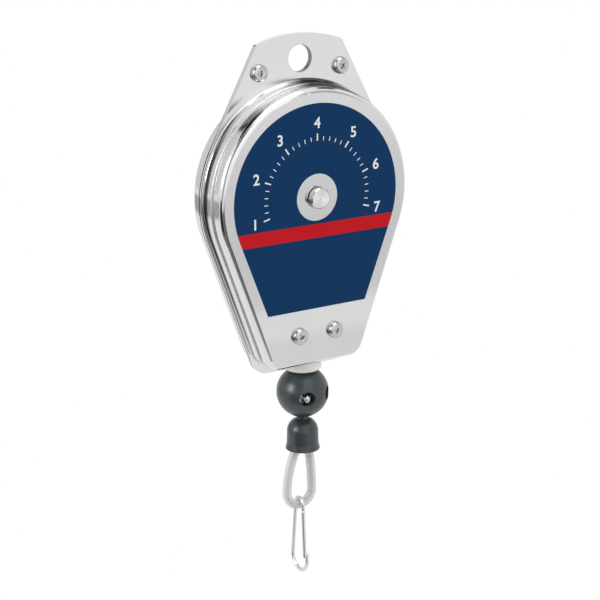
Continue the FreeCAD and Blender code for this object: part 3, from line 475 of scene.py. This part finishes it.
long_tick = tick_mark(reach=0.0034, wide=0.0007)
short_tick = tick_mark(reach=0.0020, wide=0.0004)
marks = []
for tick in range(tick_count):
    turn = math.radians(first_tick_degrees - tick * tick_step_degrees)
    has_figure = tick % figure_every == 0
    mark = copied(long_tick if has_figure else short_tick)
    mark.location = hub
    mark.rotation_euler = (0, -turn, 0)
    marks.append(seated(mark))
    if has_figure:
        outward_way = Vector((math.cos(turn), 0, math.sin(turn)))
        figure = added(bpy.ops.object.text_add, location=hub + outward_way * figure_middle,
                       rotation=(math.pi / 2, 0, 0))
        figure.data.body = str(tick // figure_every + 1)
        figure.data.align_x = "CENTER"
        figure.data.align_y = "CENTER"
        figure.data.size = figure_high
        figure.data.extrude = ink_thick / 2
        figure.data.offset = figure_swell
        bpy.ops.object.convert(target="MESH")
        marks.append(seated(bpy.context.object))
bpy.data.objects.remove(long_tick)
bpy.data.objects.remove(short_tick)
dial = joined("dial_print", *marks)
dial.data.transform(Matrix.Translation((0, -ink_thick / 2, 0)))
white_ink.wear(dial)
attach(dial, "casing")

# ---- fasteners -------------------------------------------------------------------------------------
# The small bought-in steel of the case and the ball: screws, nuts, spacer tubes, washers, retaining
# rings and the pawl's pin, all zinc plated in a barrel and so a little uneven in tone.
bright_zinc = Finish("screw_steel", Metallic=1.0)
cloud = bright_zinc.mottle(scale=900.0, dark=(0.42, 0.42, 0.41), light=(0.62, 0.62, 0.605),
                           smoothest=0.18, spread=0.14)
bright_zinc.bump(cloud, depth=0.00002, strength=0.5)
for name in ("top_screws", "top_nuts", "lower_screws", "lower_nuts", "lower_spacers", "cover_screws",
             "clamp_screws", "clamp_nuts", "shaft_clips", "spool_washers", "pawl_pin"):
    bright_zinc.wear(nodes[name])

# ---- case screws -----------------------------------------------------------------------------------
# Four zinc-plated pan head screws with a cross recess: two clamp the hanging plate, two long ones
# run through the whole case. Only the end of each thread stands out of its nut.
head_radius = 0.0041
head_high = 0.0026
crown_round = head_high * 0.72
shank_radius = 0.0020
core_radius = 0.0018
shank_sunk = 0.0004
tip_round = 0.00035
thread_pitch = 0.0007
thread_turns = 5
thread_runout = 0.6
steps_per_turn = 24
ridge_deep = 0.00034
ridge_wide = thread_pitch * 0.55
ridge_crest = 0.12
ridge_inset = 0.00022
recess_long = 0.0044
recess_deep = 0.0034
recess_wide = 0.00088
recess_taper = (0.42, 1.0, 0.70)
edge_round = 0.00007


def shape(piece, kind, pick, *steps):
    """Edit mode: selects the faces or edges that pick accepts, then runs the steps in turn."""
    solo(piece)
    bpy.ops.object.mode_set(mode="EDIT")
    bpy.ops.mesh.select_all(action="DESELECT")
    cage = bmesh.from_edit_mesh(piece.data)
    bpy.context.tool_settings.mesh_select_mode = (False, kind == "EDGE", kind == "FACE")
    for part in (cage.faces if kind == "FACE" else cage.edges):
        part.select = pick(part)
    cage.select_flush_mode()
    bmesh.update_edit_mesh(piece.data)
    for step in steps:
        step()
    bpy.ops.object.mode_set(mode="OBJECT")
    return piece


def finished(piece, *modifiers):
    """Applies modifiers given as (kind, settings), then seats the piece."""
    solo(piece)
    for kind, settings in modifiers:
        modifier = piece.modifiers.new(kind.lower(), kind)
        for key, value in settings.items():
            setattr(modifier, key, value)
        bpy.ops.object.modifier_apply(modifier=modifier.name)
    return seated(piece)


def outward(piece):
    """Merges doubles and turns every face out."""
    solo(piece)
    bpy.ops.object.mode_set(mode="EDIT")
    bpy.ops.mesh.select_all(action="SELECT")
    bpy.ops.mesh.remove_doubles(threshold=0.000002)
    bpy.ops.mesh.normals_make_consistent(inside=False)
    bpy.ops.object.mode_set(mode="OBJECT")
    return piece


def smooth(piece, degrees=35.0):
    """Shades a piece smooth, with every edge sharper than this kept crisp."""
    solo(piece)
    bpy.ops.object.shade_smooth_by_angle(angle=math.radians(degrees))
    return piece


def cross_head():
    """Pan head with its underside at the origin, its crown toward -Y and a tapered cross driven in."""
    head = seated(added(bpy.ops.mesh.primitive_cylinder_add, vertices=48, radius=head_radius,
                        depth=head_high, location=(0, -head_high / 2, 0), rotation=(math.pi / 2, 0, 0)))
    shape(head, "FACE", lambda face: face.normal.y < -0.9,
          lambda: bpy.ops.mesh.bevel(offset=crown_round, segments=7, profile=0.55,
                                     affect="EDGES", clamp_overlap=True))
    bar = added(bpy.ops.mesh.primitive_cube_add, size=1.0, location=(0, -head_high, 0))
    bar.scale = (recess_long, recess_deep, recess_wide)
    shape(seated(bar), "FACE", lambda face: face.normal.y > 0.9,
          lambda: bpy.ops.transform.resize(value=recess_taper))
    cross_bar = copied(bar)
    cross_bar.rotation_euler = (0, math.pi / 2, 0)
    seated(cross_bar)
    for cutter in (bar, cross_bar):
        solo(head)
        cut = head.modifiers.new("recess", "BOOLEAN")
        cut.operation = "DIFFERENCE"
        cut.solver = "EXACT"
        cut.object = cutter
        bpy.ops.object.modifier_apply(modifier=cut.name)
        bpy.data.objects.remove(cutter)
    return finished(head, ("BEVEL", {"width": edge_round, "segments": 2, "limit_method": "ANGLE",
                                     "angle_limit": math.radians(40)}))


def threaded_end(tip):
    """The last turns of a thread, ending at the tip, along +Y."""
    ridge = added(bpy.ops.mesh.primitive_plane_add, size=1.0)
    ridge.scale = (ridge_deep, ridge_wide, 1.0)
    ridge.location = (shank_radius - ridge_inset, 0, 0)
    shape(seated(ridge), "EDGE", lambda edge: min(v.co.x for v in edge.verts) > shank_radius - ridge_inset,
          lambda: bpy.ops.transform.resize(value=(1.0, ridge_crest, 1.0)))
    steps = steps_per_turn * thread_turns
    finished(ridge, ("SCREW", {"axis": "Y", "angle": math.tau * thread_turns,
                               "screw_offset": thread_pitch * thread_turns,
                               "steps": steps, "render_steps": steps, "use_merge_vertices": True}))
    ridge.location = (0, tip - thread_pitch * (thread_turns + thread_runout), 0)
    return outward(seated(ridge))


def pan_screw(head, long):
    """One whole screw: a copy of the head, and a shank that reaches as far as long toward +Y."""
    shank = seated(added(bpy.ops.mesh.primitive_cylinder_add, vertices=32, radius=core_radius,
                         depth=long + shank_sunk, location=(0, (long - shank_sunk) / 2, 0),
                         rotation=(math.pi / 2, 0, 0)))
    shape(shank, "FACE", lambda face: face.normal.y > 0.9,
          lambda: bpy.ops.mesh.bevel(offset=tip_round, segments=2, affect="EDGES"))
    return joined("pan_screw", copied(head), shank, threaded_end(long))


head = cross_head()
for group, left_spin, right_spin in (("top_screws", 8.0, 35.0), ("lower_screws", -28.0, 20.0)):
    low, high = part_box(group)
    seat_y = low.y + head_high
    model = pan_screw(head, high.y - seat_y)
    for side, seat_x, spin in (("left", low.x + head_radius, left_spin),
                               ("right", high.x - head_radius, right_spin)):
        screw = copied(model)
        screw.name = group[:-1] + "_" + side
        screw.data.name = screw.name
        screw.rotation_euler = (0, math.radians(spin), 0)
        screw.location = (seat_x, seat_y, (low.z + high.z) / 2)
        smooth(seated(screw), 30.0)
        bright_zinc.wear(screw)
        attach(screw, "casing")
        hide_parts(group)
    bpy.data.objects.remove(model)
bpy.data.objects.remove(head)

# ---- turned steel ----------------------------------------------------------------------------------
# The fixed shaft and the small steel parts turned or cut to go with it: bosses, spring arbor, ratchet
# wheel, pawl and rope button. The lathe's fine rings show in the colour, and two brighter wedges across
# a turned end are a painted highlight, standing in for the sheen that the rings throw.
ring_dark = (0.58, 0.58, 0.575)
ring_light = (0.70, 0.70, 0.69)
sheen_bright = (0.86, 0.86, 0.85)
sector_start = math.radians(130.0)
turned_steel = Finish("shaft_steel", Metallic=1.0)
spot = turned_steel.place()
x, y, z = turned_steel.axes(spot)
above_hub = z - hub_z
from_axis = (x * x + above_hub * above_hub).root()
rings = turned_steel.noise(from_axis + y, scale=2600.0, detail=2.0)
# painted highlight: two brighter wedges round the axis, in place of the sheen of the rings
painted_sheen = (above_hub.turn_over(x) * 2.0 + sector_start).sine() * 0.5 + 0.5
lathe_grey = turned_steel.mix(rings, ring_dark, ring_light)
turned_steel.colour(turned_steel.mix(painted_sheen * 0.6, lathe_grey, sheen_bright))
turned_steel.roughness(0.20 + rings * 0.12)
turned_steel.bump(rings, depth=0.00002, strength=0.4)
for name in ("shaft", "front_boss", "rear_boss", "spring_arbor", "ratchet_wheel", "pawl", "rope_anchor"):
    turned_steel.wear(nodes[name])

# ---- springs ---------------------------------------------------------------------------------------
# The flat strip of the mainspring, wound inside the spool, and the wire hairpin that holds the pawl
# in the ratchet. Both are hardened spring steel with a blue-black oxide skin.
blued = Finish("spring_steel", Metallic=1.0)
blued.mottle(scale=160.0, dark=(0.055, 0.060, 0.078), light=(0.12, 0.125, 0.14), smoothest=0.28,
             spread=0.12)
blued.wear(nodes["mainspring"], nodes["pawl_spring"])

# ---- spool and ferrule -----------------------------------------------------------------------------
# The rope spool is a cast aluminium cup with a disc for its cover. The ferrule that closes the rope's
# loop is aluminium too, crimped in a press and hidden in the cap.
alloy = Finish("spool_alloy", Metallic=1.0)
cloud = alloy.mottle(scale=300.0, dark=(0.58, 0.59, 0.60), light=(0.68, 0.69, 0.70), smoothest=0.34,
                     spread=0.12)
alloy.bump(cloud, depth=0.00003, strength=0.5)
alloy.wear(nodes["spool_drum"], nodes["spool_cover"], nodes["ferrule"])

# ---- rope guide ------------------------------------------------------------------------------------
# A moulded bush of natural nylon, gripped between the two shells at the foot of the case. The rope
# runs through its flared bore, and the ball stops against it.
nylon = Finish("nylon", Subsurface_Weight=0.25, Subsurface_Radius=(0.9, 0.8, 0.6), Subsurface_Scale=0.001)
cloud = nylon.mottle(scale=260.0, dark=(0.88, 0.86, 0.80), light=(0.94, 0.93, 0.88), smoothest=0.42,
                     spread=0.14)
nylon.bump(cloud, depth=0.00004, strength=0.5)
nylon.wear(nodes["rope_guide"])

# ---- stored rope -----------------------------------------------------------------------------------
# Galvanised steel wire rope, 2 mm thick: the turns on the spool, the lead from there to the guide and
# the end that goes down into the ferrule. Little or nothing of it shows.
strand = Finish("rope_steel", Metallic=1.0)
cloud = strand.mottle(scale=1500.0, dark=(0.20, 0.205, 0.21), light=(0.42, 0.425, 0.43),
                      smoothest=0.30, spread=0.15)
strand.bump(cloud, depth=0.00006, strength=0.7)
for name in ("rope_wound", "rope_lead", "rope_run", "rope_end", "loop_cable"):
    strand.wear(nodes[name])

# ---- hanging rope ----------------------------------------------------------------------------------
# The stretch of rope between the guide and the ball, laid from six strands. It is a few millimetres
# long at rest, and on the real balancer grows as the line is pulled. The piece has a ring of points at
# each end and no other.
low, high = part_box("rope_run")
rope_radius = (high.x - low.x) / 2
rope_y = (low.y + high.y) / 2
lay_length = 0.009
strand_count = 6
groove_edge = 0.35
groove_shade = (0.07, 0.07, 0.075)
wire_dark = (0.42, 0.42, 0.43)
wire_light = (0.60, 0.60, 0.60)
laid = Finish("laid_rope", Metallic=1.0)
spot = laid.place()
x, y, z = laid.axes(spot)
round_rope = (y - rope_y).turn_over(x)
strands = abs((round_rope * (strand_count / 2) + z * (math.pi * strand_count / lay_length)).sine())
cloud = laid.noise(spot, scale=1500.0)
bright_strand = laid.mix(cloud, wire_dark, wire_light)
# painted shade darkens the grooves between the strands
laid.colour(laid.mix(strands > groove_edge, groove_shade, bright_strand))
laid.roughness(0.26 + cloud * 0.14)
laid.bump(strands, depth=0.00018, strength=1.0)
hanging_rope = added(bpy.ops.mesh.primitive_cylinder_add, vertices=24, radius=rope_radius,
                     depth=high.z - low.z, location=(0, rope_y, (high.z + low.z) / 2))
hanging_rope.name = "hanging_rope"
hanging_rope.data.name = "hanging_rope"
smooth(seated(hanging_rope))
laid.wear(hanging_rope)
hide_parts("rope_run")
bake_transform(hanging_rope)

# ---- loop rope -------------------------------------------------------------------------------------
# The rope's own end, turned back under the cap into a loop: six wire strands laid round its axis,
# with both ends held in the crimped ferrule.
low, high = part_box("loop_cable")
loop_radius = (high.x - low.x) / 2 - rope_radius
lean_x = (high.x + low.x) / 2
centre_z = low.z + rope_radius + loop_radius
leg_half_gap = 0.0027
leg_in_cap = 0.0018
steps_per_lay = 14
leg_top = Vector((leg_half_gap, rope_y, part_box("rope_cap")[0].z + leg_in_cap))
ferrule_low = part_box("ferrule")[0].z
strand_radius = rope_radius * 0.36


def leg_line(side, count=16):
    """Points down one leg of the loop, along an arc that ends upright at its foot."""
    foot = loop_radius + side * lean_x
    tall = leg_top.z - centre_z
    inset = foot - leg_top.x
    arc_radius = (inset ** 2 + tall ** 2) / (2 * inset)
    sweep = math.asin(tall / arc_radius)
    points = []
    for i in range(count):
        turn = sweep * (1 - i / count)
        away = foot - arc_radius + arc_radius * math.cos(turn)
        points.append(Vector((side * away, rope_y, centre_z + arc_radius * math.sin(turn))))
    return points


def bottom_line(count=24):
    """Points round the half circle at the foot of the loop, from left to right."""
    turns = [math.pi * i / count for i in range(count + 1)]
    return [Vector((lean_x - loop_radius * math.cos(turn), rope_y, centre_z - loop_radius * math.sin(turn)))
            for turn in turns]


def ferrule_entry(end, before):
    """Where a leg meets the ferrule, straight on through its last two points."""
    slope = (end - before).normalized()
    return end + slope * ((ferrule_low - end.z) / slope.z)


line = leg_line(-1) + bottom_line() + leg_line(1)[::-1]
line = [ferrule_entry(line[0], line[1]), *line, ferrule_entry(line[-1], line[-2])]
route = bpy.data.curves.new("loop_route", "CURVE")
route.dimensions = "3D"
route.splines.new("POLY").points.add(len(line) - 1)
for point, place in zip(route.splines[0].points, line):
    point.co = (*place, 1.0)
guide_line = bpy.data.objects.new("loop_route", route)
bpy.context.scene.collection.objects.link(guide_line)

line_long = sum((after - before).length for before, after in zip(line, line[1:]))
turns = round(line_long / lay_length)
steps = steps_per_lay * turns
strand_reach = rope_radius - strand_radius
ring = seated(added(bpy.ops.mesh.primitive_circle_add, vertices=8, radius=strand_radius,
                    fill_type="NOTHING", rotation=(0, math.pi / 2, 0)))
strand_rings = []
for number in range(strand_count):
    turn = math.tau * number / strand_count
    strand_ring = copied(ring)
    strand_ring.location = (0, strand_reach * math.cos(turn), strand_reach * math.sin(turn))
    strand_rings.append(seated(strand_ring))
bpy.data.objects.remove(ring)
cable = joined("loop_rope", *strand_rings)
finished(cable, ("SCREW", {"axis": "X", "angle": math.tau * turns, "screw_offset": line_long,
                           "steps": steps, "render_steps": steps}),
         ("CURVE", {"object": guide_line, "deform_axis": "POS_X"}))
bpy.data.objects.remove(guide_line)
solo(cable)
bpy.ops.object.mode_set(mode="EDIT")
bpy.ops.mesh.select_all(action="SELECT")
bpy.ops.mesh.fill_holes(sides=0)
bpy.ops.object.mode_set(mode="OBJECT")
smooth(outward(cable), 60.0)
strand.wear(cable)
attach(cable, "line")
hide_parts("loop_cable")

# ---- stop ball and cap -----------------------------------------------------------------------------
# The ball is two moulded halves of hard black rubber, clamped on the rope to set how far it runs in.
# The cap below it is the same rubber, slipped over the ferrule.
rubber = Finish("black_rubber", Specular_IOR_Level=0.55)
cloud = rubber.mottle(scale=220.0, dark=(0.025, 0.034, 0.038), light=(0.036, 0.047, 0.052),
                      smoothest=0.27, spread=0.08)
fine_grain = rubber.noise(rubber.place(), scale=3200.0, detail=2.0)
rubber.bump(fine_grain * 0.5 + cloud, depth=0.00004, strength=0.5)
rubber.wear(nodes["ball_half_front"], nodes["ball_half_rear"], nodes["rope_cap"])

# ---- loop sleeve -----------------------------------------------------------------------------------
# A soft clear plastic tube drawn over the rope of the loop before it is crimped, so that the hook
# doesn't wear on bare wire. It is slightly milky.
clear = Finish("sleeve_clear", Base_Color=(0.80, 0.80, 0.795, 1.0), Alpha=0.59, IOR=1.45)
cloud = clear.noise(clear.place(), scale=300.0)
clear.roughness(0.22 + cloud * 0.12)
clear.bump(cloud, depth=0.00004, strength=0.5)
clear.wear(nodes["loop_sleeve"])

# ---- hook ------------------------------------------------------------------------------------------
# One length of spring wire bent into a snap hook and nickel plated. The free leg springs inwards and
# closes against the hook's bent end.
nickel = Finish("wire_nickel", Metallic=1.0)
cloud = nickel.mottle(scale=700.0, dark=(0.66, 0.66, 0.645), light=(0.78, 0.78, 0.76),
                      smoothest=0.28, spread=0.12)
nickel.bump(cloud, depth=0.00002, strength=0.4)
nickel.wear(nodes["snap_hook"], nodes["snap_gate"])

bpy.context.view_layer.update()
